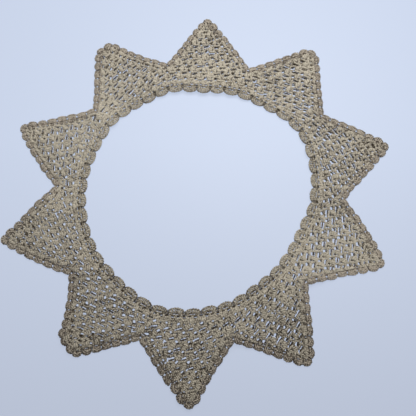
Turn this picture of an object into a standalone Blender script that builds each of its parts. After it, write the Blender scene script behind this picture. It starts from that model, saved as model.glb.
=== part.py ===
"""Crocheted lace collar laid flat: ten pointed panels round an open neckline, edged with shells.

Lengths are in millimetres up to the last step, which makes metres of them. +Z is up, +X and
+Y lie along the table, and the origin is under the middle of the collar's box. Bearings are
in degrees from +X, anticlockwise seen from above, about the middle of the neckline.
"""

import math
from typing import NamedTuple

import bpy
import numpy as np

MM = 0.001

CLOTH = 2.0
SEAM = 0.3

NECK_SHELLS = 48
SHELLS_PER_NECK_PIECE = 4
NECK_FIRST_SHELL = 1.4
NECK_EDGING = 8.5
NECK_SHELL_DEPTH = 2.8

SIDE_SHELLS = 7
POINT_EDGING = 6.0
POINT_SHELL_DEPTH = 2.3
TIP_RADIUS = 6.6

NECK_STEPS = 5
SHELL_STEPS = 4
PANEL_ROWS = 6
NOTCH_STEPS = 6
SIDE_STEPS = 12
TIP_STEPS = 4


class Point(NamedTuple):
    """One pointed panel, the notch that follows it, and the neckline under both.

    blunt is how far apart the two roundings of the tip are, slant how far its end is turned
    from square, and each bow how far the middle of a side stands out from a straight line.
    """

    tip: float
    reach: float
    blunt: float
    slant: float
    tip_shells: int
    bow_before: float
    bow_after: float
    neck_at_tip: float
    notch: float
    notch_reach: float
    neck_at_notch: float


POINTS = (
    Point(13.8, 173.8, 2.0, 0.0, 1, -0.5, 0.2, 98.8, 32.3, 134.2, 102.2),
    Point(51.6, 173.2, 5.0, 4.0, 1, -0.4, 0.0, 96.2, 68.5, 126.0, 94.0),
    Point(87.4, 170.4, 1.5, 0.0, 1, 0.9, 0.3, 91.3, 103.9, 126.0, 94.6),
    Point(122.9, 166.8, 9.5, 4.0, 2, -0.9, 0.6, 94.3, 141.4, 122.3, 96.3),
    Point(159.8, 170.4, 2.0, 0.0, 1, -1.0, 1.4, 95.8, 178.4, 125.7, 96.6),
    Point(194.8, 172.1, 1.0, 0.0, 1, -1.0, 1.6, 97.1, 214.3, 129.6, 97.9),
    Point(231.2, 168.1, 13.0, -14.0, 2, -1.5, 0.0, 98.2, 249.3, 133.6, 101.2),
    Point(267.8, 175.0, 3.0, 0.0, 1, 0.5, -0.8, 98.6, 282.9, 129.4, 95.9),
    Point(301.7, 168.6, 2.5, 0.0, 1, -0.2, 0.4, 91.5, 318.5, 121.4, 90.4),
    Point(337.5, 167.8, 2.5, 4.0, 1, -0.6, 1.8, 90.3, 356.5, 127.0, 95.7),
)


class Lift(NamedTuple):
    """A soft rise of the cloth off the table: where, how long outwards, how wide, how high."""

    bearing: float
    reach: float
    length: float
    width: float
    height: float


LIFTS = (
    Lift(20.0, 100.0, 24.0, 22.0, 1.6),
    Lift(70.0, 112.0, 30.0, 26.0, 3.0),
    Lift(87.0, 108.0, 34.0, 40.0, 4.2),
    Lift(106.0, 112.0, 30.0, 26.0, 3.4),
    Lift(123.0, 158.0, 22.0, 24.0, 1.8),
    Lift(141.4, 110.0, 28.0, 18.0, 3.6),
    Lift(186.0, 128.0, 40.0, 24.0, 4.0),
    Lift(214.0, 116.0, 24.0, 16.0, 2.2),
    Lift(230.0, 160.0, 20.0, 24.0, 2.0),
    Lift(267.0, 166.0, 22.0, 20.0, 1.8),
    Lift(281.0, 118.0, 34.0, 28.0, 4.4),
    Lift(307.0, 108.0, 26.0, 34.0, 3.6),
    Lift(322.0, 116.0, 26.0, 18.0, 2.6),
    Lift(356.5, 112.0, 28.0, 18.0, 2.4),
)


def heading(degrees):
    """Unit vectors at bearings, as an array of x and y."""
    turn = np.radians(np.asarray(degrees, float))
    return np.stack([np.cos(turn), np.sin(turn)], axis=-1)


def neck_reach(degrees):
    """The neckline's reach at bearings: a smooth closed curve through the table's reaches."""
    knots = []
    for point in POINTS:
        knots.append((point.tip, point.neck_at_tip))
        knots.append((point.notch, point.neck_at_notch))
    at = np.array([knot[0] for knot in knots])
    reach = np.array([knot[1] for knot in knots])
    at = np.concatenate([at[-2:] - 360.0, at, at[:2] + 360.0])
    reach = np.concatenate([reach[-2:], reach, reach[:2]])
    slope = np.gradient(reach, at)
    bearing = np.mod(np.asarray(degrees, float), 360.0)
    i = np.clip(np.searchsorted(at, bearing) - 1, 0, len(at) - 2)
    span = at[i + 1] - at[i]
    t = (bearing - at[i]) / span
    rise = reach[i + 1] - reach[i]
    start = slope[i] * span - rise
    end = rise - slope[i + 1] * span
    return reach[i] + t * rise + t * (1 - t) * ((1 - t) * start + t * end)


def rise_of(places):
    """The cloth's height over the table at places: the table's smooth bumps added up."""
    height = np.zeros(places.shape[:-1])
    for bump in LIFTS:
        outward = heading(bump.bearing)
        across = np.array([-outward[1], outward[0]])
        offset = places - outward * bump.reach
        far = (offset @ outward / bump.length) ** 2 + (offset @ across / bump.width) ** 2
        height += bump.height * np.clip(1 - far, 0, None) ** 2
    return height


def arc(centre, radius, start, end, count):
    """Points on an arc about a centre, from one direction to another by the shorter way."""
    first = math.atan2(start[1], start[0])
    turn = math.atan2(end[1], end[0]) - first
    turn = (turn + math.pi) % (2 * math.pi) - math.pi
    angles = np.degrees(first + turn * np.linspace(0, 1, count))
    directions = heading(angles)
    return centre + radius * directions, directions


def side_normal(notch, centre, hand):
    """The unit normal, into the panel, of the side that runs from a notch past a tip's arc.

    hand is 1 for the side before the tip and -1 for the side after it.
    """
    ahead = centre - notch
    far = np.linalg.norm(ahead)
    lean = hand * math.asin(TIP_RADIUS / far)
    along = math.atan2(ahead[1], ahead[0]) - lean
    return np.array([-math.sin(along), math.cos(along)]) * hand


def side(start, end, into, bow):
    """Points between the ends of a side that bows outwards, and its outward normals."""
    share = np.arange(1, SIDE_STEPS) / SIDE_STEPS
    along = end - start
    spots = start + share[:, None] * along - into * (bow * 4 * share * (1 - share))[:, None]
    lean = bow * 4 * (1 - 2 * share) / (along @ along)
    faced = -into - along * lean[:, None]
    return spots, faced / np.linalg.norm(faced, axis=1)[:, None]


def ground_line(number):
    """The line where a point's net ends and its edging starts, from notch to notch.

    It is the sharp outline moved in by the edging's width: an arc about each notch, bowed
    sides, and a small arc or two at the tip. The result is the line's places, the outward
    normals there, the index of its middle, at the tip, and the places that a panel uses.
    """
    point, before = POINTS[number], POINTS[number - 1]
    first = heading(before.notch) * before.notch_reach
    last = heading(point.notch) * point.notch_reach
    middle = heading(point.tip) * (point.reach - TIP_RADIUS)
    step = heading(point.tip + 90 + point.slant) * point.blunt / 2
    centres = (middle - step, middle + step)
    into_first = side_normal(first, centres[0], 1)
    into_last = side_normal(last, centres[1], -1)
    over = heading(point.tip + point.slant)
    small = TIP_RADIUS - POINT_EDGING

    notch_start = arc(first, POINT_EDGING, -heading(before.notch), into_first, NOTCH_STEPS + 1)
    tip_start = arc(centres[0], small, -into_first, over, TIP_STEPS + 1)
    tip_end = arc(centres[1], small, over, -into_last, TIP_STEPS + 1)
    notch_end = arc(last, POINT_EDGING, into_last, -heading(point.notch), NOTCH_STEPS + 1)
    side_before = side(notch_start[0][-1], tip_start[0][0], into_first, point.bow_before)
    side_after = side(tip_end[0][-1], notch_end[0][0], into_last, point.bow_after)
    blocks = (
        (notch_start, -1, NOTCH_STEPS // 2),
        (side_before, 1, SIDE_STEPS // 4),
        (tip_start, 1, TIP_STEPS),
        (tip_end, 1, TIP_STEPS),
        (side_after, 1, SIDE_STEPS // 4),
        (notch_end, -1, NOTCH_STEPS // 2),
    )
    places = np.concatenate([block[0][0] for block in blocks])
    normals = np.concatenate([block[0][1] * block[1] for block in blocks])
    columns, count = [], 0
    for (spots, _), _, stride in blocks:
        first_used = stride - 1 if len(spots) == SIDE_STEPS - 1 else 0
        columns.append(count + np.arange(first_used, len(spots), stride))
        count += len(spots)
    middle_index = sum(len(block[0][0]) for block in blocks[:3])
    return places, normals, middle_index, np.concatenate(columns)


def spread(places, normals, lengths, wanted):
    """Places and unit normals at wanted lengths along a line, read between its points."""
    spots = [np.interp(wanted, lengths, places[:, k]) for k in range(2)]
    faced = np.stack([np.interp(wanted, lengths, normals[:, k]) for k in range(2)], axis=1)
    faced /= np.linalg.norm(faced, axis=1)[:, None]
    return np.stack(spots, axis=1), faced


def run_along(places, normals, width):
    """Lengths along the middle of a band of that width beside a line."""
    middle = places + normals * width / 2
    steps = np.linalg.norm(np.diff(middle, axis=0), axis=1)
    return np.concatenate([[0.0], np.cumsum(steps)])


def shell_edges(number):
    """Where each shell of a point's edging starts and ends, as lengths along its band."""
    places, normals, middle, _ = ground_line(number)
    lengths = run_along(places, normals, POINT_EDGING)
    tip = (lengths[middle - 1] + lengths[middle]) / 2
    total = lengths[-1]
    count = POINTS[number].tip_shells
    pitch = total / (2 * SIDE_SHELLS + count)
    low, high = tip - count * pitch / 2, tip + count * pitch / 2
    before = np.linspace(0, low, SIDE_SHELLS + 1)
    over = np.linspace(low, high, count + 1)
    after = np.linspace(high, total, SIDE_SHELLS + 1)
    return np.concatenate([before, over[1:], after[1:]])


def shell_swell(share):
    """How full a shell is across its width, from 0 at its ends to 1 at its middle."""
    return np.sqrt(np.clip(1 - (2 * share - 1) ** 2, 0, None))


def metres(places, height):
    """Flat places and heights joined into points, in millimetres."""
    return np.concatenate([places, height[..., None]], axis=-1)


def edging_sections(places, normals, reach):
    """Sections of an edging: flat below, high over the shells' middles, low at their rim."""
    profile = ((0.0, 0.0), (1.0, 0.0), (1.0, 0.6), (0.55, 1.15), (0.0, 1.0))
    rows = []
    for out, up in profile:
        spot = places + normals * (reach * out)[:, None]
        rows.append(metres(spot, rise_of(spot) + up * CLOTH))
    return np.stack(rows, axis=1)


def new_material(name, colour, roughness):
    """A matt cotton finish."""
    material = bpy.data.materials.new(name)
    material.use_nodes = True
    shader = material.node_tree.nodes["Principled BSDF"]
    shader.inputs["Base Color"].default_value = (*colour, 1.0)
    shader.inputs["Roughness"].default_value = roughness
    shader.inputs["Metallic"].default_value = 0.0
    return material


def add_mesh(name, points, faces, material):
    """A named object in the scene from points in millimetres and its faces."""
    mesh = bpy.data.meshes.new(name)
    mesh.from_pydata((points * MM).tolist(), [], faces)
    mesh.materials.append(material)
    mesh.update()
    thing = bpy.data.objects.new(name, mesh)
    bpy.context.scene.collection.objects.link(thing)
    return thing


def carried(name, sections, material, flip):
    """A closed bar: one section after another, joined round and capped at both ends."""
    count, around, _ = sections.shape
    faces = []
    for i in range(count - 1):
        for k in range(around):
            j = (k + 1) % around
            faces.append((i * around + k, i * around + j, (i + 1) * around + j, (i + 1) * around + k))
    faces.append(tuple(reversed(range(around))))
    faces.append(tuple((count - 1) * around + k for k in range(around)))
    if flip:
        faces = [tuple(reversed(face)) for face in faces]
    return add_mesh(name, sections.reshape(-1, 3), faces, material)


def slab(name, low, high, material):
    """A closed sheet between two grids of points, with walls round its rim."""
    across, out, _ = low.shape
    size = across * out
    faces = []
    for i in range(across - 1):
        for k in range(out - 1):
            corner = (i * out + k, (i + 1) * out + k, (i + 1) * out + k + 1, i * out + k + 1)
            faces.append(corner)
            faces.append(tuple(size + c for c in reversed(corner)))
    rim = [i * out for i in range(across)]
    rim += [(across - 1) * out + k for k in range(1, out)]
    rim += [i * out + out - 1 for i in range(across - 2, -1, -1)]
    rim += [k for k in range(out - 2, 0, -1)]
    for a, b in zip(rim, rim[1:] + rim[:1]):
        faces.append((b, a, size + a, size + b))
    points = np.concatenate([low.reshape(-1, 3), high.reshape(-1, 3)])
    return add_mesh(name, points, faces, material)


def point_edging(number, centre, material):
    """The shells along both sides of one point and over its tip."""
    places, normals, _, _ = ground_line(number)
    lengths = run_along(places, normals, POINT_EDGING)
    edges = shell_edges(number)
    share = np.linspace(0, 1, SHELL_STEPS, endpoint=False)
    wanted = (edges[:-1, None] + np.diff(edges)[:, None] * share).ravel()
    wanted = np.append(wanted, edges[-1])
    swell = np.append(np.tile(shell_swell(share), len(edges) - 1), 0.0)
    gap = SEAM / 2
    wanted[0] += gap
    wanted[-1] -= gap
    places, normals = spread(places, normals, lengths, wanted)
    reach = POINT_EDGING - POINT_SHELL_DEPTH * (1 - swell)
    sections = edging_sections(places, normals, reach)
    sections[..., :2] -= centre
    return carried(f"point_edging_{number + 1:02d}", sections, material, True)


def neck_edging(number, centre, material):
    """A run of the shells that stand round the neckline."""
    pitch = 360.0 / NECK_SHELLS
    start = NECK_FIRST_SHELL + number * SHELLS_PER_NECK_PIECE * pitch
    count = SHELLS_PER_NECK_PIECE * NECK_STEPS
    steps = np.arange(count + 1)
    bearings = start + steps * pitch / NECK_STEPS
    swell = shell_swell((steps % NECK_STEPS) / NECK_STEPS)
    reach = neck_reach(bearings) + NECK_EDGING
    gap = math.degrees(SEAM / 2 / reach[0])
    bearings[0] += gap
    bearings[-1] -= gap
    places = heading(bearings) * reach[:, None]
    width = NECK_EDGING - NECK_SHELL_DEPTH * (1 - swell)
    sections = edging_sections(places, -heading(bearings), width)
    sections[..., :2] -= centre
    return carried(f"neck_edging_{number + 1:02d}", sections, material, False)


def point_panel(number, centre, material):
    """One point of the net with the stretch of band that it grows from."""
    point, before = POINTS[number], POINTS[number - 1]
    line, normals, _, columns = ground_line(number)
    lengths = run_along(line, normals, 0.0)
    outer = (line - normals * SEAM)[columns]
    start = before.notch - (360.0 if before.notch > point.notch else 0.0)
    bearings = start + (point.notch - start) * lengths[columns] / lengths[-1]
    inner = heading(bearings) * (neck_reach(bearings) + NECK_EDGING + SEAM)[:, None]
    share = np.linspace(0, 1, PANEL_ROWS + 1)[None, :, None]
    flat = inner[:, None, :] * (1 - share) + outer[:, None, :] * share
    for column, notch, hand in ((0, before.notch, 1), (-1, point.notch, -1)):
        away = heading(notch + 90 * hand) * SEAM / 2
        flat[column] += away
    height = rise_of(flat)
    flat = flat - centre
    low = metres(flat, height)
    high = metres(flat, height + CLOTH)
    return slab(f"point_{number + 1:02d}", low, high, material)


def box_middle():
    """The middle of the collar's box, seen from above, from its edging's reach."""
    rims = []
    for number in range(len(POINTS)):
        places, normals, _, _ = ground_line(number)
        lengths = run_along(places, normals, POINT_EDGING)
        edges = shell_edges(number)
        middles = (edges[:-1] + edges[1:]) / 2
        places, normals = spread(places, normals, lengths, middles)
        rims.append(places + normals * POINT_EDGING)
    rim = np.concatenate(rims)
    return (rim.min(axis=0) + rim.max(axis=0)) / 2


def build():
    """The whole collar."""
    for thing in list(bpy.data.objects):
        bpy.data.objects.remove(thing)
    centre = box_middle()
    net = new_material("net_cotton", (0.42, 0.36, 0.25), 0.9)
    neck = new_material("neck_edging_cotton", (0.44, 0.38, 0.27), 0.9)
    rim = new_material("point_edging_cotton", (0.40, 0.34, 0.24), 0.9)
    for number in range(NECK_SHELLS // SHELLS_PER_NECK_PIECE):
        neck_edging(number, centre, neck)
    for number in range(len(POINTS)):
        point_panel(number, centre, net)
        point_edging(number, centre, rim)


build()
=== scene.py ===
"""Looks of a crocheted lace collar that lies flat on a pale table.

Every stitch is worked in doubled cotton thread. A doubled thread is two tubes that wind round
one route, and the routes are laid out in a flat stitch plan and carried onto the collar's
shape. Lengths are in millimetres up to the last step, which makes metres of them. Bearings are
in degrees from +X, anticlockwise seen from above, about the middle of the neckline.
"""

import logging
import math
from dataclasses import dataclass, field
from enum import Enum
from typing import Callable

import bpy
import numpy as np
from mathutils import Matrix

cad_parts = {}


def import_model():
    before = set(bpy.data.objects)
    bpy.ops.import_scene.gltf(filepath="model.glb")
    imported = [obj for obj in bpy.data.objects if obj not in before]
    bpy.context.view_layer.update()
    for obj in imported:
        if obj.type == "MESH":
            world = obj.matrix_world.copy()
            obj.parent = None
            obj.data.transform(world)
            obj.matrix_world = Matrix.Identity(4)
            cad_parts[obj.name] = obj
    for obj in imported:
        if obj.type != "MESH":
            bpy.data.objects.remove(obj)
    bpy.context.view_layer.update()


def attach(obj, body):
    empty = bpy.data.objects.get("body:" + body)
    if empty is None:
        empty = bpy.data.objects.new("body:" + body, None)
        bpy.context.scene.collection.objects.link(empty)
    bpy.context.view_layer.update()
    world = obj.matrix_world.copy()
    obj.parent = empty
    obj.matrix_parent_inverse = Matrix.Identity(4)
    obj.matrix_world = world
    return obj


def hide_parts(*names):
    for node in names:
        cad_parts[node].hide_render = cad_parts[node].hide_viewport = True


MM = 0.001
LOG = logging.getLogger("lace_collar")
Array = np.ndarray
Triple = tuple[float, float, float]


@dataclass(frozen=True)
class Point:
    """One pointed panel, the notch that follows it, and the neckline under both.

    blunt is how far apart the two roundings of the tip are, slant how far its end is turned
    from square, and each bow how far the middle of a side stands out from a straight line.
    """

    tip: float
    reach: float
    blunt: float
    slant: float
    tip_shells: int
    bow_before: float
    bow_after: float
    neck_at_tip: float
    notch: float
    notch_reach: float
    neck_at_notch: float


@dataclass(frozen=True)
class Lift:
    """A soft rise of the cloth off the table: where, how long outwards, how wide, how high."""

    bearing: float
    reach: float
    length: float
    width: float
    height: float


POINTS = (
    Point(13.8, 173.8, 2.0, 0.0, 1, -0.5, 0.2, 98.8, 32.3, 134.2, 102.2),
    Point(51.6, 173.2, 5.0, 4.0, 1, -0.4, 0.0, 96.2, 68.5, 126.0, 94.0),
    Point(87.4, 170.4, 1.5, 0.0, 1, 0.9, 0.3, 91.3, 103.9, 126.0, 94.6),
    Point(122.9, 166.8, 9.5, 4.0, 2, -0.9, 0.6, 94.3, 141.4, 122.3, 96.3),
    Point(159.8, 170.4, 2.0, 0.0, 1, -1.0, 1.4, 95.8, 178.4, 125.7, 96.6),
    Point(194.8, 172.1, 1.0, 0.0, 1, -1.0, 1.6, 97.1, 214.3, 129.6, 97.9),
    Point(231.2, 168.1, 13.0, -14.0, 2, -1.5, 0.0, 98.2, 249.3, 133.6, 101.2),
    Point(267.8, 175.0, 3.0, 0.0, 1, 0.5, -0.8, 98.6, 282.9, 129.4, 95.9),
    Point(301.7, 168.6, 2.5, 0.0, 1, -0.2, 0.4, 91.5, 318.5, 121.4, 90.4),
    Point(337.5, 167.8, 2.5, 4.0, 1, -0.6, 1.8, 90.3, 356.5, 127.0, 95.7),
)

LIFTS = (
    Lift(20.0, 100.0, 24.0, 22.0, 1.6),
    Lift(70.0, 112.0, 30.0, 26.0, 3.0),
    Lift(87.0, 108.0, 34.0, 40.0, 4.2),
    Lift(106.0, 112.0, 30.0, 26.0, 3.4),
    Lift(123.0, 158.0, 22.0, 24.0, 1.8),
    Lift(141.4, 110.0, 28.0, 18.0, 3.6),
    Lift(186.0, 128.0, 40.0, 24.0, 4.0),
    Lift(214.0, 116.0, 24.0, 16.0, 2.2),
    Lift(230.0, 160.0, 20.0, 24.0, 2.0),
    Lift(267.0, 166.0, 22.0, 20.0, 1.8),
    Lift(281.0, 118.0, 34.0, 28.0, 4.4),
    Lift(307.0, 108.0, 26.0, 34.0, 3.6),
    Lift(322.0, 116.0, 26.0, 18.0, 2.6),
    Lift(356.5, 112.0, 28.0, 18.0, 2.4),
)


def heading(degrees: Array | float) -> Array:
    """Unit vectors at bearings: their cosine and sine, in a new last axis."""
    turn = np.radians(np.asarray(degrees, float))
    return np.stack([np.cos(turn), np.sin(turn)], axis=-1)


def unit(vectors: Array) -> Array:
    """Vectors scaled to length one along their last axis."""
    return vectors / np.maximum(np.linalg.norm(vectors, axis=-1, keepdims=True), 1e-9)


def frames(routes: Array) -> tuple[Array, Array, Array]:
    """Unit directions along, aside from and upright over routes, at each of their steps.

    Args:
        routes: Places by route, step and axis.

    Returns:
        The directions ahead, flat sideways and upright.
    """
    ahead = unit(np.gradient(routes, axis=1))
    aside = unit(np.cross(ahead, [0.0, 0.0, 1.0]))
    return ahead, aside, np.cross(aside, ahead)


def ease(share: Array) -> Array:
    """A smooth step: three times the square less twice the cube, held between 0 and 1."""
    held = np.clip(share, 0.0, 1.0)
    return held * held * (3 - 2 * held)


def tune(node: bpy.types.Node, values: dict[str, float | tuple[float, ...]]) -> None:
    """Sets a node's inputs by their names."""
    for name, value in values.items():
        node.inputs[name].default_value = value


def put(name: str, data: bpy.types.ID) -> bpy.types.Object:
    """A new object of some data, at the origin of the scene.

    Args:
        name: The object's name.
        data: Its mesh, lamp or camera.

    Returns:
        The object.
    """
    thing = bpy.data.objects.new(name, data)
    bpy.context.scene.collection.objects.link(thing)
    return thing


@dataclass
class CollarForm:
    """The collar's flat shape and its rises, as its solids have them.

    The stretches of painted light each have a bearing, a spread to each side and a strength: there the
    thread's tint is lifted, as painted light.
    """

    points: tuple[Point, ...] = POINTS
    lifts: tuple[Lift, ...] = LIFTS
    neck_edging: float = 8.5
    neck_shell_depth: float = 2.8
    neck_first_shell: float = 1.4
    neck_shells: int = 48
    edging: float = 6.0
    shell_depth: float = 2.3
    side_shells: int = 7
    tip_radius: float = 6.6
    notch_steps: int = 6
    side_steps: int = 12
    tip_steps: int = 4
    # Stretches round the collar where the thread is tinted lighter, as painted light.
    painted_light_stretches: tuple[Triple, ...] = ((150.0, 34.0, 0.13), (331.0, 28.0, 0.16))

    def neck_reach(self, degrees: Array | float) -> Array:
        """The neckline's reach: a closed cubic curve through the table's reaches.

        Args:
            degrees: Bearings of any shape.

        Returns:
            The distance of the neckline from the middle at each bearing.
        """
        at = np.array([bearing for p in self.points for bearing in (p.tip, p.notch)])
        reach = np.array([neck for p in self.points for neck in (p.neck_at_tip, p.neck_at_notch)])
        at = np.concatenate([at[-2:] - 360.0, at, at[:2] + 360.0])
        reach = np.concatenate([reach[-2:], reach, reach[:2]])
        slope = np.gradient(reach, at)
        bearing = np.mod(np.asarray(degrees, float), 360.0)
        i = np.clip(np.searchsorted(at, bearing) - 1, 0, len(at) - 2)
        span = at[i + 1] - at[i]
        t = (bearing - at[i]) / span
        rise = reach[i + 1] - reach[i]
        start = slope[i] * span - rise
        end = rise - slope[i + 1] * span
        return reach[i] + t * rise + t * (1 - t) * ((1 - t) * start + t * end)

    def rise_of(self, places: Array) -> Array:
        """The cloth's height over the table: smooth round bumps added up.

        Args:
            places: Flat places, with x and y in the last axis.

        Returns:
            The height at each place.
        """
        height = np.zeros(places.shape[:-1])
        for bump in self.lifts:
            outward = heading(bump.bearing)
            across = np.array([-outward[1], outward[0]])
            offset = places - outward * bump.reach
            far = (offset @ outward / bump.length) ** 2 + (offset @ across / bump.width) ** 2
            height += bump.height * np.clip(1 - far, 0, None) ** 2
        return height

    def raised(self, flat: Array, up: Array | float) -> Array:
        """Places over the cloth: its rise at each flat place plus a height over it."""
        return np.concatenate([flat, (self.rise_of(flat) + up)[..., None]], axis=-1)

    def from_neck(self, degrees: Array, out: Array | float) -> Array:
        """Flat places at bearings and distances outwards of the neck edging's outer line."""
        return heading(degrees) * (self.neck_reach(degrees) + self.neck_edging + out)[..., None]

    def painted_light(self, places: Array) -> Array:
        """How much painted light lifts the thread's tint at places: smooth bumps over the bearing, added
        up.

        Args:
            places: Flat places, with x and y in the last axis.

        Returns:
            What each place adds to its level, as painted light.
        """
        bearing = np.degrees(np.arctan2(places[..., 1], places[..., 0]))
        pale = np.zeros(bearing.shape)
        for middle, spread, gain in self.painted_light_stretches:
            off = (bearing - middle + 180) % 360 - 180
            # Painted light: each stretch lifts the thread's tint.
            pale += gain * ease(1 - np.abs(off) / spread)
        return pale

    @staticmethod
    def arc(centre: Array, radius: float, start: Array, end: Array, count: int) -> tuple[Array, Array]:
        """Points on an arc about a centre, by the shorter way round.

        Args:
            centre: The arc's middle.
            radius: Its radius.
            start: The direction of its first point.
            end: The direction of its last point.
            count: How many points it has.

        Returns:
            The points and their directions from the centre.
        """
        first = math.atan2(start[1], start[0])
        turn = math.atan2(end[1], end[0]) - first
        turn = (turn + math.pi) % (2 * math.pi) - math.pi
        directions = heading(np.degrees(first + turn * np.linspace(0, 1, count)))
        return centre + radius * directions, directions

    def side_normal(self, notch: Array, centre: Array, hand: int) -> Array:
        """The unit normal, into the panel, of a side from a notch past a tip's arc.

        Args:
            notch: The side's inner end.
            centre: The middle of the tip's arc.
            hand: 1 for the side before the tip and -1 for the side after it.

        Returns:
            The normal.
        """
        ahead = centre - notch
        lean = hand * math.asin(self.tip_radius / np.linalg.norm(ahead))
        along = math.atan2(ahead[1], ahead[0]) - lean
        return np.array([-math.sin(along), math.cos(along)]) * hand

    def side(self, start: Array, end: Array, into: Array, bow: float) -> tuple[Array, Array]:
        """Points between the ends of a side that bows outwards as a parabola.

        Args:
            start: The first end.
            end: The last end.
            into: The unit normal into the panel.
            bow: How far the middle stands out.

        Returns:
            The points between the ends, and their outward normals.
        """
        share = np.arange(1, self.side_steps) / self.side_steps
        along = end - start
        spots = start + share[:, None] * along - into * (bow * 4 * share * (1 - share))[:, None]
        lean = bow * 4 * (1 - 2 * share) / (along @ along)
        return spots, unit(-into - along * lean[:, None])

    def ground_line(self, number: int) -> tuple[Array, Array, int]:
        """The line where a point's net ends and its edging starts, from notch to notch.

        Args:
            number: The panel's place in the table, from 0.

        Returns:
            The line's places, its outward normals, and the index of its middle at the tip.
        """
        point, before = self.points[number], self.points[number - 1]
        first = heading(before.notch) * before.notch_reach
        last = heading(point.notch) * point.notch_reach
        middle = heading(point.tip) * (point.reach - self.tip_radius)
        step = heading(point.tip + 90 + point.slant) * point.blunt / 2
        centres = (middle - step, middle + step)
        into_first = self.side_normal(first, centres[0], 1)
        into_last = self.side_normal(last, centres[1], -1)
        over = heading(point.tip + point.slant)
        small = self.tip_radius - self.edging
        notch_start = self.arc(first, self.edging, -heading(before.notch), into_first, self.notch_steps + 1)
        tip_start = self.arc(centres[0], small, -into_first, over, self.tip_steps + 1)
        tip_end = self.arc(centres[1], small, over, -into_last, self.tip_steps + 1)
        notch_end = self.arc(last, self.edging, into_last, -heading(point.notch), self.notch_steps + 1)
        side_before = self.side(notch_start[0][-1], tip_start[0][0], into_first, point.bow_before)
        side_after = self.side(tip_end[0][-1], notch_end[0][0], into_last, point.bow_after)
        blocks = (
            (notch_start, -1), (side_before, 1), (tip_start, 1),
            (tip_end, 1), (side_after, 1), (notch_end, -1),
        )
        places = np.concatenate([block[0] for block, _ in blocks])
        normals = np.concatenate([block[1] * hand for block, hand in blocks])
        middle_index = sum(len(block[0]) for block, _ in blocks[:3])
        return places, normals, middle_index

    @staticmethod
    def run_along(places: Array, normals: Array, width: float) -> Array:
        """Lengths along the middle of a band beside a line.

        Args:
            places: The line's points.
            normals: Its normals.
            width: The band's width.

        Returns:
            The length at each point, from 0.
        """
        middle = places + normals * width / 2
        steps = np.linalg.norm(np.diff(middle, axis=0), axis=1)
        return np.concatenate([[0.0], np.cumsum(steps)])

    @staticmethod
    def spread(places: Array, normals: Array, lengths: Array, wanted: Array) -> tuple[Array, Array]:
        """Places and unit normals at wanted lengths along a line, read between its points.

        Args:
            places: The line's points.
            normals: Its normals.
            lengths: The length along it at each point.
            wanted: Lengths of any shape.

        Returns:
            The places and the normals at the wanted lengths.
        """
        spots = np.stack([np.interp(wanted, lengths, places[:, k]) for k in range(2)], axis=-1)
        faced = np.stack([np.interp(wanted, lengths, normals[:, k]) for k in range(2)], axis=-1)
        return spots, unit(faced)

    def shell_edges(self, number: int) -> Array:
        """Where each shell of a point's edging starts and ends, as lengths along its band.

        Args:
            number: The panel's place in the table, from 0.

        Returns:
            The lengths, with one more than there are shells.
        """
        places, normals, middle = self.ground_line(number)
        lengths = self.run_along(places, normals, self.edging)
        tip = (lengths[middle - 1] + lengths[middle]) / 2
        total = lengths[-1]
        count = self.points[number].tip_shells
        pitch = total / (2 * self.side_shells + count)
        low, high = tip - count * pitch / 2, tip + count * pitch / 2
        before = np.linspace(0, low, self.side_shells + 1)
        over = np.linspace(low, high, count + 1)
        after = np.linspace(high, total, self.side_shells + 1)
        return np.concatenate([before, over[1:], after[1:]])

    def middle(self) -> Array:
        """The middle of the collar's box, from its edging's reach.

        Returns:
            The middle's x and y.
        """
        rims = []
        for number in range(len(self.points)):
            places, normals, _ = self.ground_line(number)
            lengths = self.run_along(places, normals, self.edging)
            edges = self.shell_edges(number)
            spots, faced = self.spread(places, normals, lengths, (edges[:-1] + edges[1:]) / 2)
            rims.append(spots + faced * self.edging)
        rim = np.concatenate(rims)
        return (rim.min(axis=0) + rim.max(axis=0)) / 2


@dataclass(frozen=True)
class Strand:
    """One doubled thread of a motif, as a cubic curve with two handles.

    start, near, far and end are across, outwards and up, in millimetres from the motif's
    round hole. width is the doubled thread's width, and turns how often its two threads wind
    round each other.
    """

    start: Triple
    near: Triple
    far: Triple
    end: Triple
    width: float
    turns: float
    steps: int


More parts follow.
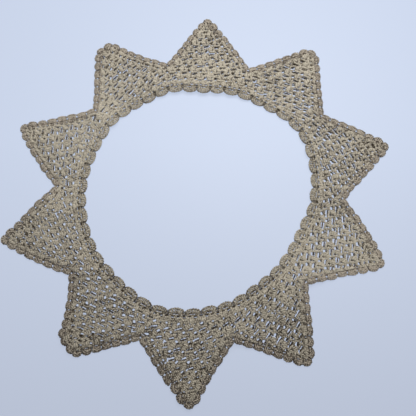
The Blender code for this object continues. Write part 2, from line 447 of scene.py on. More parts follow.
class Motif(Enum):
    """The doubled threads of one motif of the net, by the work they do."""

    FIRST_TREBLE = Strand(
        (-0.8, -1.2, 1.2), (-2.6, -2.2, 1.4), (-3.7, -4.6, 1.4), (-2.0, -6.7, 1.2), 2.3, 1.2, 6)
    SECOND_TREBLE = Strand(
        (-0.4, -1.5, 1.3), (-1.6, -3.0, 1.6), (-2.3, -5.0, 1.6), (-1.0, -6.9, 1.3), 2.3, 1.2, 6)
    THIRD_TREBLE = Strand(
        (0.0, -1.6, 1.2), (-0.4, -3.2, 1.4), (-1.0, -4.6, 1.4), (-0.1, -6.9, 1.2), 2.2, 1.2, 6)
    ARCH = Strand(
        (1.7, -1.4, 1.1), (1.3, -3.6, 1.2), (1.9, -5.6, 1.3), (4.0, -6.4, 1.4), 2.2, 1.5, 7)
    BRIDGE = Strand(
        (1.0, -4.1, 1.1), (2.6, -5.15, 1.1), (4.8, -4.8, 1.1), (7.4, -2.7, 1.1), 2.5, 1.5, 7)
    HEADS = Strand(
        (-2.4, -7.4, 1.3), (-0.8, -7.8, 1.5), (1.8, -7.6, 1.5), (4.0, -6.5, 1.4), 2.1, 2.0, 7)
    LOOP = Strand(
        (-1.9, 0.9, 1.4), (-2.1, -2.2, 1.5), (1.4, -2.8, 1.5), (2.3, 0.0, 1.3), 1.9, 1.8, 8)
    # The three under strands lie low, so the level's painted shade makes them near black where the gaps
    # beside the heads, in the slit and in the round hole's crescent are in shade.
    UNDER_HEADS = Strand(
        (2.2, -2.0, 0.45), (3.6, -1.6, 0.45), (5.2, -1.0, 0.45), (7.2, -0.6, 0.45), 1.3, 1.0, 4)
    UNDER_SLIT = Strand(
        (0.3, -4.2, 0.45), (0.3, -5.0, 0.45), (0.6, -5.8, 0.45), (0.8, -6.6, 0.45), 1.2, 0.5, 3)
    UNDER_LOOP = Strand(
        (-1.9, -0.3, 0.45), (-1.7, 1.3, 0.45), (-0.9, 2.0, 0.45), (0.7, 2.1, 0.45), 1.4, 0.5, 4)


TREBLES = (Motif.FIRST_TREBLE, Motif.SECOND_TREBLE, Motif.THIRD_TREBLE)
UNDER = (Motif.UNDER_HEADS, Motif.UNDER_SLIT, Motif.UNDER_LOOP)
CHAINS = (Motif.ARCH, Motif.BRIDGE, Motif.HEADS, Motif.LOOP, *UNDER)
# How much wider some kinds get towards a tip, where the net closes.
CLOSING = {kind: 0.9 for kind in UNDER} | {kind: 0.08 for kind in (Motif.LOOP, Motif.ARCH, Motif.BRIDGE)}


@dataclass
class Threads:
    """Tubes gathered up for one mesh.

    A point at the height top over the cloth is fully in the light. The rings at a tube's ends
    have the share end_ring of its radius, and the closing points stand end_reach of that
    further out. Of a doubled thread's width, stout is each thread's radius and swing how far
    it stands from the route, with the share lie of that upwards.
    """

    sides: int = 5
    top: float = 2.4
    end_ring: float = 0.6
    end_reach: float = 0.6
    stout: float = 0.33
    swing: float = 0.24
    lie: float = 0.5
    stagger: float = 3.7
    points: list[Array] = field(default_factory=list)
    quads: list[Array] = field(default_factory=list)
    tris: list[Array] = field(default_factory=list)
    quad_uv: list[Array] = field(default_factory=list)
    tri_uv: list[Array] = field(default_factory=list)
    count: int = 0

    def carry(self, routes: Array, radius: Array | float) -> None:
        """Carries a round profile along every route and closes both ends with a point.

        A ring is the route's place plus the radius times the cosine and sine of an angle,
        along the route's flat sideways and upright directions.

        Args:
            routes: Places by route, step and axis.
            radius: One radius, or one for each route.
        """
        runs, steps, _ = routes.shape
        ahead, aside, upright = frames(routes)
        thick = np.broadcast_to(np.asarray(radius, float).reshape(-1, 1), (runs, steps)).copy()
        thick[:, [0, -1]] *= self.end_ring
        angle = np.arange(self.sides) / self.sides * 2 * math.pi
        ring = aside[:, :, None] * np.cos(angle)[:, None] + upright[:, :, None] * np.sin(angle)[:, None]
        shell = routes[:, :, None] + ring * thick[:, :, None, None]
        first = routes[:, 0] - ahead[:, 0] * thick[:, :1] * self.end_reach
        last = routes[:, -1] + ahead[:, -1] * thick[:, -1:] * self.end_reach
        body = np.concatenate([shell.reshape(runs, -1, 3), first[:, None], last[:, None]], axis=1)
        each = steps * self.sides + 2
        base = self.count + np.arange(runs)[:, None, None] * each
        i = np.arange(steps - 1)[:, None] * self.sides
        k = np.arange(self.sides)[None, :]
        j = (k + 1) % self.sides
        corners = np.stack([i + k, i + j, i + self.sides + j, i + self.sides + k], axis=-1)
        self.quads.append((base[..., None] + corners[None]).reshape(-1, 4))
        k, j = k[0], j[0]
        far = (steps - 1) * self.sides
        front = np.stack([j, k, np.full_like(k, each - 2)], axis=-1)
        back = np.stack([far + k, far + j, np.full_like(k, each - 1)], axis=-1)
        ends = np.concatenate([front, back])
        self.tris.append((base + ends[None]).reshape(-1, 3))
        self.points.append(body.reshape(-1, 3))
        self.count += runs * each
        self.map_tubes(routes)

    def map_tubes(self, routes: Array) -> None:
        """Gives every face its place in the thread: length along it and share round it.

        Args:
            routes: Places by route, step and axis.
        """
        runs, steps, _ = routes.shape
        strides = np.linalg.norm(np.diff(routes, axis=1), axis=2)
        along = np.concatenate([np.zeros((runs, 1)), np.cumsum(strides, axis=1)], axis=1)
        along += np.arange(runs)[:, None] * self.stagger
        k = np.arange(self.sides) / self.sides
        low, high = along[:, :-1, None], along[:, 1:, None]
        shape = (runs, steps - 1, self.sides)
        start, end = np.broadcast_to(k, shape), np.broadcast_to(k + 1 / self.sides, shape)
        u = np.stack([np.broadcast_to(v, shape) for v in (low, low, high, high)], axis=-1)
        v = np.stack([start, end, end, start], axis=-1)
        self.quad_uv.append(np.stack([u, v], axis=-1).reshape(-1, 2))
        cap_u = np.stack([along[:, 0], along[:, -1]], axis=1)
        cap_u = np.broadcast_to(cap_u[:, :, None, None], (runs, 2, self.sides, 3))
        cap_v = np.broadcast_to(k[None, None, :, None], (runs, 2, self.sides, 3))
        self.tri_uv.append(np.stack([cap_u, cap_v], axis=-1).reshape(-1, 2))

    def wind(self, routes: Array, width: Array | float, turns: float, phase: Array | float) -> None:
        """Winds two threads round each route, as worked cotton lies in a stitch.

        A thread's middle is the route's place plus about a quarter of the width times the
        cosine, sideways, and half the sine, upwards, of an angle that grows along the route.

        Args:
            routes: Places by route, step and axis.
            width: The doubled thread's width, one or one for each route.
            turns: How often the two wind round each other.
            phase: The angle at the start, in radians, one or one for each route.
        """
        runs, steps, _ = routes.shape
        _, aside, upright = frames(routes)
        wide = np.broadcast_to(np.asarray(width, float).reshape(-1, 1), (runs, 1))
        share = np.linspace(0, 1, steps)[None, :]
        start = np.broadcast_to(np.asarray(phase, float).reshape(-1, 1), (runs, 1))
        angle = start + share * turns * 2 * math.pi
        for half in (0.0, math.pi):
            sideways = aside * np.cos(angle + half)[..., None]
            upwards = upright * np.sin(angle + half)[..., None] * self.lie
            shift = (sideways + upwards) * (wide * self.swing)[..., None]
            self.carry(routes + shift, wide[:, 0] * self.stout)

    def build(self, name: str, material: bpy.types.Material, form: CollarForm) -> bpy.types.Object:
        """Makes one smooth mesh object of all the tubes, with each point's level: painted shade by its
        height over the cloth, with painted light added in given stretches.

        Args:
            name: The piece's name.
            material: Its finish.
            form: The collar's shape, whose middle becomes the origin.

        Returns:
            The object, at the origin, in metres.
        """
        points = np.concatenate(self.points)
        # The level is painted shade: a point is tinted darker the lower it lies over the cloth, up to top;
        # the painted light of given stretches is added to it.
        height = np.clip((points[:, 2] - form.rise_of(points[:, :2])) / self.top, 0, 1)
        height += form.painted_light(points[:, :2])
        points[:, 2] = np.maximum(points[:, 2], 0.0)
        points[:, :2] -= form.middle()
        quads, tris = np.concatenate(self.quads), np.concatenate(self.tris)
        corners = np.concatenate([quads.ravel(), tris.ravel()]).astype(np.int32)
        sizes = np.concatenate([np.full(len(quads), 4), np.full(len(tris), 3)])
        starts = np.concatenate([[0], np.cumsum(sizes)[:-1]]).astype(np.int32)
        mesh = bpy.data.meshes.new(name)
        mesh.vertices.add(len(points))
        mesh.vertices.foreach_set("co", (points * MM).astype(np.float32).ravel())
        mesh.loops.add(len(corners))
        mesh.loops.foreach_set("vertex_index", corners)
        mesh.polygons.add(len(sizes))
        mesh.polygons.foreach_set("loop_start", starts)
        mesh.update(calc_edges=True)
        laid = mesh.uv_layers.new(name="thread")
        uv = np.concatenate(self.quad_uv + self.tri_uv)
        laid.data.foreach_set("uv", uv.astype(np.float32).ravel())
        level = mesh.attributes.new("level", "FLOAT", "POINT")
        level.data.foreach_set("value", height.astype(np.float32))
        mesh.shade_smooth()
        mesh.materials.append(material)
        mesh.validate()
        return put(name, mesh)


@dataclass
class NetPlan:
    """The stitch plan of one panel: where a motif's place lies on the collar.

    row is a band row's height, and lean how far each row stands sideways of the one below,
    in pitches. hole is the middle of a motif's round hole from its knot. Heights under
    shortest are squeezed. Above the band the pitch narrows to narrow of a full one, from
    blend_before rows under the band's top and over blend_over rows.
    """

    form: CollarForm
    number: int
    pitch: float = 10.2
    row: float = 7.35
    band_motifs: int = 7
    band_rows: float = 2.0
    top_row: float = 8.45
    lean: float = 0.08
    hole: tuple[float, float] = (4.0, -3.4)
    shortest: float = 2.5
    squeeze: float = 0.43
    narrow: float = 0.97
    blend_before: float = 0.3
    blend_over: float = 1.2
    past_rim: float = 1.0
    past_tip: float = 0.6
    samples: int = 120
    last_row: int = 10
    most_across: int = 5

    def __post_init__(self) -> None:
        """Reads the panel's edges, as bearings against rows, off its ground line."""
        form, number = self.form, self.number
        self.tip = form.points[number].tip
        places, _, middle = form.ground_line(number)
        bearing = np.degrees(np.arctan2(places[:, 1], places[:, 0]))
        bearing = (bearing - self.tip + 180) % 360 - 180
        height = np.linalg.norm(places, axis=1) - form.neck_reach(bearing + self.tip) - form.neck_edging
        order = np.argsort(bearing)
        self.rim_bearing, self.rim_height = bearing[order], height[order]
        self.tall = (height.max() - self.row * self.band_rows) / (self.top_row - self.band_rows)
        level = self.rows_of(height)
        self.levels = np.linspace(-1, self.top_row + self.past_tip, self.samples)
        self.low = np.interp(self.levels, level[:middle], bearing[:middle])
        self.high = np.interp(-self.levels, -level[middle:], bearing[middle:])

    def rows_of(self, height: Array) -> Array:
        """Rows for heights over the neck edging: even in the band, and even above it."""
        band = self.row * self.band_rows
        return np.where(height < band, height / self.row, self.band_rows + (height - band) / self.tall)

    def height_of(self, rows: Array) -> Array:
        """Heights over the neck edging for rows, with the lowest row's stitches drawn short.

        Args:
            rows: Rows over the neck edging.

        Returns:
            The heights.
        """
        above = np.clip(rows - self.band_rows, 0, None)
        height = np.minimum(rows, self.band_rows) * self.row + above * self.tall
        short = self.shortest - (self.shortest - height) * self.squeeze
        return np.where(height < self.shortest, short, height)

    def place(self, across: Array, rows: Array, free: Array) -> tuple[Array, Array]:
        """Lays places of the plan on the collar.

        A row follows the neckline at its height, and the places along it stand a pitch
        apart, clockwise from the middle between the panel's edges. Past an edge they stop on
        it, but those of the band run on into the next panel, under the ground's outer line.

        Args:
            across: Pitches from the panel's middle.
            rows: Rows over the neck edging.
            free: Whether a motif belongs to the band.

        Returns:
            The flat places, and how far each stood past the edge, in millimetres.
        """
        low = np.interp(rows, self.levels, self.low)
        high = np.interp(rows, self.levels, self.high)
        middle = (low + high) / 2
        height = self.height_of(rows)
        reach = self.form.neck_reach(middle + self.tip) + self.form.neck_edging + height
        above = ease((rows - self.band_rows + self.blend_before) / self.blend_over)
        band = np.radians(high - low) * reach / self.band_motifs
        pitch = band + (self.pitch * self.narrow - band) * above
        bearing = middle - np.degrees(across * pitch / reach)
        over = np.radians(np.maximum(low - bearing, bearing - high)) * reach
        bearing = np.where(free, bearing, np.clip(bearing, low, high))
        rim = np.interp(bearing, self.rim_bearing, self.rim_height) + self.past_rim
        return self.form.from_neck(bearing + self.tip, np.minimum(height, rim)), over

    def knots(self) -> Array:
        """The knots of the panel's motifs, with every other row moved by half a pitch.

        Returns:
            Pitches across and rows, a line for each knot.
        """
        rows = range(1, self.last_row + 1)
        places = range(-self.most_across, self.most_across + 1)
        return np.array([(place + 0.5 * (row % 2), float(row)) for row in rows for place in places])


@dataclass(frozen=True)
class Cotton:
    """A matt cotton finish: its colour in light and its dark colour, for painted shade and darker tone, and
    how strongly it varies.
    """

    name: str
    light: Triple
    shade_and_dark_tone: Triple
    roughness: float = 0.88
    specular: float = 0.25
    sheen: float = 0.15
    bump: float = 0.9
    bump_depth: float = 0.22

    def material(self, group: bpy.types.NodeTree) -> bpy.types.Material:
        """Builds the finish round the shared twist of the thread.

        Args:
            group: The node group that gives the thread's tint and relief.

        Returns:
            The material.
        """
        made = bpy.data.materials.new(self.name)
        made.use_nodes = True
        tree = made.node_tree
        shader = tree.nodes["Principled BSDF"]
        tune(shader, {
            "Roughness": self.roughness, "Specular IOR Level": self.specular, "Sheen Weight": self.sheen,
        })
        twist = tree.nodes.new("ShaderNodeGroup")
        twist.node_tree = group
        blend = tree.nodes.new("ShaderNodeMix")
        blend.data_type = "RGBA"
        tune(blend, {"A": (*self.shade_and_dark_tone, 1.0), "B": (*self.light, 1.0)})
        bump = tree.nodes.new("ShaderNodeBump")
        tune(bump, {"Strength": self.bump, "Distance": self.bump_depth * MM})
        tree.links.new(twist.outputs["Tint"], blend.inputs["Factor"])
        tree.links.new(blend.outputs["Result"], shader.inputs["Base Color"])
        tree.links.new(twist.outputs["Relief"], bump.inputs["Height"])
        tree.links.new(bump.outputs["Normal"], shader.inputs["Normal"])
        return made


@dataclass(frozen=True)
class Twist:
    """The shared look of twisted cotton thread: plies round it and a slow change along it.

    Each share weighs one effect in the tint. slant is how fast the plies turn along the thread. The tint
    drops between two places along Y, in metres, from the first of what it loses to the last, so it is
    darker towards -Y: painted shade.
    """

    plies: int = 3
    slant: float = 3.1
    # Weighs the ply wave in the tint: painted shade in the grooves between plies.
    ply_share: float = 0.9
    slow_scale: float = 60.0
    slow_detail: float = 3.0
    slow_share: float = 0.3
    fine_scale: float = 760.0
    fine_detail: float = 2.0
    fine_share: float = 1.9
    # Weighs the level's painted shade and painted light in the tint.
    painted_light_share: float = 2.0
    fuzz: float = 0.6
    shades_along: tuple[float, float] = (-0.04, -0.15)
    loses: tuple[float, float] = (2.5, 2.75)

    def group(self) -> bpy.types.NodeTree:
        """Builds the effect as a node group.

        The relief is a wave over the plies times the share round the thread less the length along it, so
        the plies run slantwise. The tint adds noise and the level to that wave, so the grooves between
        plies get painted shade, and the level paints shade low over the cloth and light in given stretches.

        Returns:
            The node group, with the outputs Tint and Relief.
        """
        group = bpy.data.node_groups.new("twisted_cotton", "ShaderNodeTree")
        for name in ("Tint", "Relief"):
            group.interface.new_socket(name=name, in_out="OUTPUT", socket_type="NodeSocketFloat")
        nodes, links = group.nodes, group.links

        def maths(kind: str, *values: bpy.types.NodeSocket | float) -> bpy.types.NodeSocket:
            """A maths node's output.

            Args:
                kind: The node's operation.
                values: The sockets or numbers that it works on, in order.

            Returns:
                The output.
            """
            node = nodes.new("ShaderNodeMath")
            node.operation = kind
            for socket, value in zip(node.inputs, values):
                if isinstance(value, bpy.types.NodeSocket):
                    links.new(value, socket)
                else:
                    socket.default_value = value
            return node.outputs["Value"]

        where = nodes.new("ShaderNodeTexCoord").outputs["Object"]

        def noise(scale: float, detail: float) -> bpy.types.NodeSocket:
            """Noise over the collar.

            Args:
                scale: How fine it is.
                detail: How many finer layers it has.

            Returns:
                The noise's value.
            """
            node = nodes.new("ShaderNodeTexNoise")
            tune(node, {"Scale": scale, "Detail": detail})
            links.new(where, node.inputs["Vector"])
            return node.outputs["Fac"]

        thread, spot = (nodes.new("ShaderNodeSeparateXYZ") for _ in range(2))
        laid = nodes.new("ShaderNodeUVMap")
        laid.uv_map = "thread"
        links.new(laid.outputs["UV"], thread.inputs["Vector"])
        links.new(where, spot.inputs["Vector"])
        along = maths("MULTIPLY", thread.outputs["X"], self.slant)
        round_it = maths("MULTIPLY", thread.outputs["Y"], self.plies * 2 * math.pi)
        wave = maths("SINE", maths("SUBTRACT", round_it, along))
        relief = maths("MULTIPLY_ADD", wave, 0.5, 0.5)
        slow = maths("MULTIPLY", noise(self.slow_scale, self.slow_detail), self.slow_share)
        fine = noise(self.fine_scale, self.fine_detail)
        mixed = maths("ADD", slow, maths("MULTIPLY", fine, self.fine_share))
        # The ply wave in the tint paints shade in the grooves between plies.
        tint = maths("ADD", mixed, maths("MULTIPLY", relief, self.ply_share))
        # The level attribute carries painted shade low over the cloth and painted light in given stretches.
        level = nodes.new("ShaderNodeAttribute")
        level.attribute_name = "level"
        tint = maths("ADD", tint, maths("MULTIPLY", level.outputs["Fac"], self.painted_light_share))
        # Painted shade: the tint drops further towards -Y.
        shaded_below = nodes.new("ShaderNodeMapRange")
        for ends, limits in (("From", self.shades_along), ("To", self.loses)):
            tune(shaded_below, {f"{ends} Min": limits[0], f"{ends} Max": limits[1]})
        links.new(spot.outputs["Y"], shaded_below.inputs["Value"])
        out = nodes.new("NodeGroupOutput")
        links.new(maths("SUBTRACT", tint, shaded_below.outputs["Result"]), out.inputs["Tint"])
        links.new(maths("ADD", relief, maths("MULTIPLY", fine, self.fuzz)), out.inputs["Relief"])
        return group


@dataclass
class Net:
    """The openwork ground of one panel, in trebles and chains.

    A strand may pass the panel's edge by ease_out. jitter moves a whole motif, with the share
    jitter_up of it upwards, and own moves each strand. fuller widens a strand for each
    millimetre that the cloth rises, snug has each panel's own fullness, and the kinds that
    close the net do so over closes_over from the reach closes_from.
    """

    form: CollarForm
    number: int
    ease_out: float = 1.3
    jitter: float = 0.6
    jitter_up: float = 0.25
    own: Triple = (0.25, 0.25, 0.12)
    widths: tuple[float, float] = (0.9, 1.1)
    fuller: float = 0.04
    closes_from: float = 138.0
    closes_over: float = 16.0
    snug: tuple[float, ...] = (0.0, 0.04, 0.03, 0.04, 0.04, 0.09, 0.05, 0.12, 0.06, -0.02)
    past_top: float = 0.25
    cut_steps: int = 24
    seed: int = 11

    def routes(self, plan: NetPlan, strand: Strand, knots: Array, noise: Array) -> Array:
        """Carries one kind of doubled thread onto every motif of the panel.

        A route is the cubic curve of its four places from the motif's hole, moved by the
        motif's own small unevenness and sheared by the plan's lean.

        Args:
            plan: The panel's stitch plan.
            strand: The doubled thread.
            knots: The motifs' knots.
            noise: Each motif's unevenness, across, outwards and up.

        Returns:
            The routes that lie inside the panel.
        """
        t = np.linspace(0, 1, strand.steps + 1)[:, None]
        corners = [np.array(p) for p in (strand.start, strand.near, strand.far, strand.end)]
        curve = (1 - t) ** 3 * corners[0] + 3 * (1 - t) ** 2 * t * corners[1]
        curve = curve + 3 * (1 - t) * t ** 2 * corners[2] + t ** 3 * corners[3]
        spots = curve[None] + np.array([*plan.hole, 0.0]) + noise[:, None, :]
        rows = knots[:, None, 1] + spots[..., 1] / plan.row
        across = knots[:, None, 0] + spots[..., 0] / plan.pitch + plan.lean * spots[..., 1] / plan.row
        free = knots[:, 1:] <= plan.band_rows
        flat, over = plan.place(across, rows, free)
        half = plan.band_motifs / 2
        shared = (knots[:, 0] > -half) & (knots[:, 0] <= half)
        inside = np.where(free[:, 0], shared, np.median(over, axis=1) < self.ease_out)
        inside &= rows.max(axis=1) < plan.top_row + self.past_top
        return self.form.raised(flat, spots[..., 2])[inside]

    def gather(self, plan: NetPlan, kinds: tuple[Motif, ...]) -> Threads:
        """Winds the doubled threads of the named kinds over the panel.

        Args:
            plan: The panel's stitch plan.
            kinds: The kinds of doubled thread.

        Returns:
            The threads.
        """
        knots = plan.knots()
        chance = np.random.default_rng(self.seed + self.number)
        reach = (self.jitter, self.jitter, self.jitter * self.jitter_up)
        noise = chance.uniform(-1, 1, (len(knots), 3)) * reach
        threads = Threads()
        for kind in kinds:
            own = chance.uniform(-1, 1, noise.shape) * self.own
            routes = self.routes(plan, kind.value, knots, noise + own)
            phase = chance.uniform(0, 2 * math.pi, len(routes))
            amid = routes[:, len(routes[0]) // 2, :2]
            full = 1 + self.fuller * self.form.rise_of(amid) + self.snug[self.number]
            near_tip = ease((np.linalg.norm(amid, axis=1) - self.closes_from) / self.closes_over)
            full = full + CLOSING.get(kind, 0.0) * near_tip
            width = kind.value.width * chance.uniform(*self.widths, len(routes)) * full
            threads.wind(routes, width, kind.value.turns, phase)
        return threads

    def build(self, cotton: bpy.types.Material) -> tuple[bpy.types.Object, bpy.types.Object]:
        """Builds the panel's trebles and its chains.

        Args:
            cotton: The thread's finish.

        Returns:
            The trebles' piece and the chains' piece.
        """
        plan = NetPlan(self.form, self.number)
        label = f"{self.number + 1:02d}"
        trebles = self.gather(plan, TREBLES).build(f"net_trebles_{label}", cotton, self.form)
        chains = self.gather(plan, CHAINS).build(f"net_chains_{label}", cotton, self.form)
        return trebles, chains

    def cut(self) -> tuple[float, float, float]:
        """The panel's flat cut, off its outline from the ground line to the neck edging.

        Returns:
            Its width and length in metres, and its area in square metres.
        """
        places, _, _ = self.form.ground_line(self.number)
        point, before = self.form.points[self.number], self.form.points[self.number - 1]
        start = (before.notch - point.tip + 180) % 360 - 180
        bearings = point.tip + np.linspace(point.notch - point.tip, start, self.cut_steps)
        rim = np.concatenate([places, self.form.from_neck(bearings, 0.0)])
        ahead = heading(point.tip)
        length, width = np.ptp(rim @ ahead), np.ptp(rim @ np.array([-ahead[1], ahead[0]]))
        following = np.roll(rim, -1, axis=0)
        area = abs((rim[:, 0] * following[:, 1] - rim[:, 1] * following[:, 0]).sum()) / 2
        return width * MM, length * MM, area * MM * MM


@dataclass
class Band:
    """A band that shells stand along.

    lay gives flat places for lengths along the band and distances out from its foot, and
    edges has the lengths where each shell starts and ends.
    """

    form: CollarForm
    lay: Callable[[Array, Array], Array]
    edges: Array

    def along(self, share: Array) -> Array:
        """The lengths at shares of each shell's width."""
        return self.edges[:-1, None] + np.diff(self.edges)[:, None] * share

    def routes(self, along: Array, out: Array, up: Array | float) -> Array:
        """Places at lengths along the band, distances out and heights over the cloth."""
        return self.form.raised(self.lay(along, out), up)


@dataclass
class Shell:
    """A fan of trebles with a braid of heads round it, and the tight rows that it stands on.

    base is the share of a shell's width that its trebles' feet take up, foot how far out they
    stand, and eyelet how much further the middle one does. Each pair of limits bounds a
    chance value: full of a shell's depth, even of its swell, and widths of a strand's width.
    root_shift and head_shift bound how far a treble's ends stray along the band, up_shift how
    far it strays upwards, and braid_shift how far the braid strays out and up. tight_rows has
    the distance out, wave, height, width and turns of each.
    """

    trebles: int
    depth: float
    swell: Array | float
    base: float
    foot: float = 0.6
    eyelet: float = 1.1
    width: float = 2.0
    full: tuple[float, float] = (-0.5, 0.25)
    even: tuple[float, float] = (0.8, 1.2)
    widths: tuple[float, float] = (0.9, 1.08)
    root_shift: float = 0.15
    head_shift: float = 0.2
    up_shift: tuple[float, float] = (-0.15, 0.2)
    bow: float = 0.35
    steps: int = 6
    turns: float = 1.2
    up: float = 1.0
    crown: float = 0.5
    head_inset: float = 0.9
    braid_inset: float = 0.85
    braid_gap: float = 0.02
    braid_up: float = 0.95
    braid_crown: float = 0.35
    braid_width: float = 1.75
    braid_steps: int = 14
    braid_shift: tuple[float, float] = (0.25, 0.2)
    tight_steps: int = 9
    tight_rows: tuple[tuple[float, ...], ...] = ((0.1, 0.5, 1.3, 1.7, 2.0), (1.5, 0.0, 1.0, 1.6, 1.0))

    def gather(self, band: Band, seed: int) -> Threads:
        """Winds the doubled threads of a row of shells.

        Each treble starts near the shell's middle on the tight row and ends on the rim,
        which swells as half a parabola and half an ellipse between the shells' valleys.

        Args:
            band: The band that they stand along.
            seed: The start of the row's unevenness.

        Returns:
            The threads.
        """
        chance = np.random.default_rng(seed)
        threads = Threads()
        share = (np.arange(self.trebles) + 0.5) / self.trebles
        off = (2 * share - 1) ** 2
        full = chance.uniform(*self.full, (len(band.edges) - 1, 1))
        curve = 0.5 + 0.5 * off - 0.5 * np.sqrt(1 - off)
        swell = self.swell * curve * chance.uniform(*self.even, full.shape)
        rim = self.depth + full - swell - self.head_inset
        t = np.linspace(0, 1, self.steps)[None, None, :]
        starts, ends = band.along(0.5 + (share - 0.5) * self.base), band.along(share)
        starts = starts + chance.uniform(-self.root_shift, self.root_shift, starts.shape)
        ends = ends + chance.uniform(-self.head_shift, self.head_shift, ends.shape)
        along = starts[..., None] * (1 - t) + ends[..., None] * t
        along = along + (ends - starts)[..., None] * self.bow * t * (1 - t)
        foot = self.foot + self.eyelet * (1 - np.abs(2 * share - 1)) ** 2
        out = foot[None, :, None] + (rim - foot)[..., None] * t
        up = self.up + self.crown * np.sin(np.pi * t)
        up = up + chance.uniform(*self.up_shift, along.shape[:2])[..., None]
        routes = band.routes(along, out, up).reshape(-1, self.steps, 3)
        width = self.width * chance.uniform(*self.widths, len(routes))
        threads.wind(routes, width, self.turns, chance.uniform(0, 2 * math.pi, len(routes)))
        self.braid(threads, band, full)
        t = np.linspace(0, 1, self.tight_steps)
        for out, wave, up, width, turns in self.tight_rows:
            tight = band.routes(band.along(t), out + wave * np.cos(2 * np.pi * t), up)
            threads.wind(tight, width, turns, 0.0)
        return threads

    def braid(self, threads: Threads, band: Band, full: Array) -> None:
        """Winds the trebles' heads: a doubled thread along each shell's rim, a little uneven.

        Args:
            threads: What they are added to.
            band: The band that the shells stand along.
            full: How far each shell's rim stands out past its depth.
        """
        chance = np.random.default_rng(len(band.edges))
        t = np.linspace(0, 1, self.braid_steps)
        off = (2 * t - 1) ** 2
        swell = 0.5 * (1 - off) + 0.5 * np.sqrt(np.clip(1 - off, 0, None))
        along = band.along(self.braid_gap + (1 - 2 * self.braid_gap) * t)
        out = self.depth + full - self.swell * (1 - swell) - self.braid_inset
        stray_out, stray_up = self.braid_shift
        out = out + chance.uniform(-stray_out, stray_out, along.shape)
        up = self.braid_up + self.braid_crown * swell + chance.uniform(-stray_up, stray_up, along.shape)
        phase = chance.uniform(0, 2 * math.pi, len(along))
        threads.wind(band.routes(along, out, up), self.braid_width, self.trebles / 2, phase)


@dataclass
class PointEdging:
    """The small shells along both sides of one point and over its tip.

    A side's shells swell by side_swell. Those less than tip_shells from the tip's middle swell
    by tip_more than the form says. The selvedge is a chain just inside the ground line.
    """

    form: CollarForm
    number: int
    trebles: int = 5
    base: float = 0.5
    side_swell: float = 1.1
    tip_shells: float = 2.6
    tip_more: float = 0.5
    selvedge_out: float = -1.1
    selvedge_up: float = 0.95
    selvedge_width: float = 1.9
    selvedge_turns: float = 2.0
    selvedge_steps: int = 7
    seed: int = 31

    def build(self, cotton: bpy.types.Material) -> bpy.types.Object:
        """Builds the fans of trebles, with their heads round the rim, and the selvedge.

        Args:
            cotton: The thread's finish.

        Returns:
            The piece.
        """
        form = self.form
        places, normals, _ = form.ground_line(self.number)
        lengths = form.run_along(places, normals, form.edging)
        edges = form.shell_edges(self.number)
        count = len(edges) - 1
        off = np.abs(np.arange(count) - (count - 1) / 2)
        swell = np.where(off < self.tip_shells, form.shell_depth + self.tip_more, self.side_swell)
        shell = Shell(self.trebles, form.edging, swell[:, None], self.base)

        def lay(along: Array, out: Array) -> Array:
            """Flat places at lengths along the band and distances out from the ground."""
            spots, faced = form.spread(places, normals, lengths, along)
            return spots + faced * out[..., None]

        band = Band(form, lay, edges)
        threads = shell.gather(band, self.seed + self.number)
        along = band.along(np.linspace(0, 1, self.selvedge_steps))
        chain = band.routes(along, np.full(along.shape, self.selvedge_out), self.selvedge_up)
        threads.wind(chain, self.selvedge_width, self.selvedge_turns, 0.0)
        return threads.build(f"point_shells_{self.number + 1:02d}", cotton, form)


@dataclass
class NeckEdging:
    """A run of the shells that stand round the neckline, on a row of small eyelets.

    The eyelets' bars start bar_start out from the edging's outer line and are bar_past longer
    than the eyelet row. rails has the distance out, height, width and turns of each doubled
    thread that runs along the bars' ends.
    """

    form: CollarForm
    number: int
    shells: int = 4
    trebles: int = 6
    base: float = 0.55
    eyelets: int = 12
    lace_row: float = 2.6
    bar_start: float = 0.8
    bar_past: float = 0.6
    bar_up: float = 1.2
    bar_crown: float = 0.3
    bar_width: float = 2.4
    bar_turns: float = 0.8
    bar_steps: int = 5
    rail_steps: int = 50
    rails: tuple[tuple[float, ...], ...] = ((0.2, 1.1, 1.5, 14.0), (-1.6, 0.5, 1.6, 4.0))
    seed: int = 71

    def build(self, cotton: bpy.types.Material) -> bpy.types.Object:
        """Builds the run: eyelet bars, a tight row and the shells.

        Args:
            cotton: The thread's finish.

        Returns:
            The piece.
        """
        form = self.form
        pitch = 360.0 / form.neck_shells
        start = form.neck_first_shell + self.number * self.shells * pitch
        edges = start + np.arange(self.shells + 1) * pitch
        shell = Shell(self.trebles, form.neck_edging - self.lace_row, form.neck_shell_depth, self.base)
        reach = float(form.neck_reach(edges.mean())) + form.neck_edging / 2

        def lay(along: Array, out: Array) -> Array:
            """Flat places at lengths round the neckline and distances in from the eyelet row."""
            return form.from_neck(np.degrees(along / reach), -self.lace_row - out)

        band = Band(form, lay, np.radians(edges) * reach)
        threads = shell.gather(band, self.seed + self.number)
        self.eyelet_row(threads, start, pitch * self.shells)
        return threads.build(f"neck_shells_{self.number + 1:02d}", cotton, form)

    def eyelet_row(self, threads: Threads, start: float, span: float) -> None:
        """Winds short bars from the net to the tight row, with an eyelet between each two.

        Args:
            threads: What they are added to.
            start: The run's first bearing.
            span: How far it goes round, in degrees.
        """
        share = (np.arange(self.eyelets) + 0.5) / self.eyelets
        t = np.linspace(0, 1, self.bar_steps)[None, :]
        bearing = start + span * share[:, None] + np.zeros_like(t)
        flat = self.form.from_neck(bearing, self.bar_start - (self.lace_row + self.bar_past) * t)
        up = self.bar_up + self.bar_crown * np.sin(np.pi * t)
        threads.wind(self.form.raised(flat, up), self.bar_width, self.bar_turns, 0.0)
        bearing = start + span * np.linspace(0, 1, self.rail_steps)[None, :]
        for out, up, width, turns in self.rails:
            routes = self.form.raised(self.form.from_neck(bearing, out), up)
            threads.wind(routes, width, turns, 0.0)


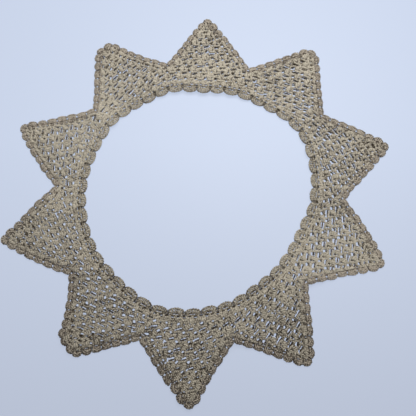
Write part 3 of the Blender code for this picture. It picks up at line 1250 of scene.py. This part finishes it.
@dataclass
class Studio:
    """The pale table, the soft light and the camera, at the photo's angle.

    The camera's place and the floor's drop are in millimetres, and the other lengths in metres. The floor
    fades from near_tone to far_tone along Y, darker towards -Y: painted shade. It glows by glow times that
    tone: painted light that keeps shadows on it faint and the table seen through the holes bright.
    """

    tilt: float = 13.0
    camera: Triple = (6.911, -93.481, 348.877)
    lens: float = 36.0
    sensor: float = 36.0
    near_clip: float = 0.01
    floor_width: float = 3.0
    floor_drop: float = 0.02
    near_tone: Triple = (0.082, 0.091, 0.112)
    far_tone: Triple = (0.098, 0.110, 0.136)
    roughness: float = 0.6
    glow: float = 5.2
    fade_from: float = -0.20
    fade_to: float = 0.05
    lamp_spot: Triple = (0.08, 0.24, 0.48)
    lamp_turn: Triple = (-27, 0, -18)
    lamp_size: float = 0.34
    lamp_power: float = 2.95
    lamp_colour: Triple = (0.98, 0.99, 1.0)
    room_colour: Triple = (0.86, 0.92, 1.0)
    room_light: float = 0.08

    def build(self) -> None:
        """Places the table, the camera, a broad overhead light and the room's light."""
        scene = bpy.context.scene
        lens = bpy.data.cameras.new("view")
        lens.sensor_fit = "HORIZONTAL"
        lens.sensor_width = self.sensor
        lens.lens = self.lens
        lens.clip_start = self.near_clip
        eye = put("view", lens)
        eye.location = np.array(self.camera) * MM
        eye.rotation_euler = (math.radians(self.tilt), 0.0, 0.0)
        scene.camera = eye
        self.table()
        self.lamp()
        world = bpy.data.worlds.new("room")
        world.use_nodes = True
        sky = world.node_tree.nodes["Background"]
        tune(sky, {"Color": (*self.room_colour, 1.0), "Strength": self.room_light})
        scene.world = world
        scene.view_settings.view_transform = "Standard"

    def lamp(self) -> None:
        """Hangs the square soft light."""
        light = bpy.data.lights.new("window", "AREA")
        light.size = self.lamp_size
        light.energy = self.lamp_power
        light.color = self.lamp_colour
        thing = put("window", light)
        thing.location = self.lamp_spot
        thing.rotation_euler = tuple(math.radians(a) for a in self.lamp_turn)

    def table(self) -> None:
        """A plain pale floor just under the collar. It glows in its own tone, as painted light that keeps
        the collar's shadows faint and the holes bright, and its tone is darker towards -Y, as painted
        shade.
        """
        half = self.floor_width / 2
        mesh = bpy.data.meshes.new("table")
        low = -self.floor_drop * MM
        corners = [(-half, -half, low), (half, -half, low), (half, half, low), (-half, half, low)]
        mesh.from_pydata(corners, [], [(0, 1, 2, 3)])
        finish = bpy.data.materials.new("pale_table")
        finish.use_nodes = True
        shader = finish.node_tree.nodes["Principled BSDF"]
        where = finish.node_tree.nodes.new("ShaderNodeTexCoord")
        parts = finish.node_tree.nodes.new("ShaderNodeSeparateXYZ")
        # Painted shade: the floor's tone is darker towards -Y.
        fade = finish.node_tree.nodes.new("ShaderNodeMapRange")
        tune(fade, {"From Min": self.fade_from, "From Max": self.fade_to})
        blend = finish.node_tree.nodes.new("ShaderNodeMix")
        blend.data_type = "RGBA"
        tune(blend, {"A": (*self.near_tone, 1.0), "B": (*self.far_tone, 1.0)})
        links = finish.node_tree.links
        links.new(where.outputs["Object"], parts.inputs["Vector"])
        links.new(parts.outputs["Y"], fade.inputs["Value"])
        links.new(fade.outputs["Result"], blend.inputs["Factor"])
        links.new(blend.outputs["Result"], shader.inputs["Base Color"])
        # Painted light: the floor glows in its own tone.
        links.new(blend.outputs["Result"], shader.inputs["Emission Color"])
        tune(shader, {"Roughness": self.roughness, "Emission Strength": self.glow})
        mesh.materials.append(finish)
        put("table", mesh)


@dataclass
class Collar:
    """The whole collar, panel by panel."""

    form: CollarForm = field(default_factory=CollarForm)

    def build(self) -> None:
        twist = Twist().group()
        # Each finish's second colour is the dark end of its tint: painted shade and darker tone.
        net = Cotton("net_thread", (0.64, 0.57, 0.45), (0.055, 0.037, 0.020)).material(twist)
        neck = Cotton("neck_thread", (0.62, 0.55, 0.43), (0.055, 0.037, 0.020)).material(twist)
        rim = Cotton("point_thread", (0.55, 0.475, 0.38), (0.045, 0.030, 0.017)).material(twist)
        for number in range(self.form.neck_shells // NeckEdging.shells):
            piece = NeckEdging(self.form, number).build(neck)
            self.seat(piece, f"neck_edging_{number + 1:02d}")
        for number in range(len(self.form.points)):
            label = f"{number + 1:02d}"
            ground = Net(self.form, number)
            trebles, chains = ground.build(net)
            edging = PointEdging(self.form, number).build(rim)
            self.seat(trebles, f"point_{label}")
            self.seat(chains)
            self.seat(edging, f"point_edging_{label}")
            width, length, area = ground.cut()

    def seat(self, piece: bpy.types.Object, node: str | None = None) -> None:
        """Makes a piece ride on the collar's one body and stand for a solid.

        Args:
            piece: The piece.
            node: The solid that it replaces, if any.
        """
        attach(piece, "root")
        if node:
            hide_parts(node)
        LOG.info("%s: %d faces", piece.name, len(piece.data.polygons))


def main() -> None:
    """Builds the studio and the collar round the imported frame."""
    logging.basicConfig(level=logging.INFO, format="%(name)s %(message)s")
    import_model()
    Studio().build()
    Collar().build()
    bpy.context.view_layer.update()


if __name__ == "__main__":
    main()
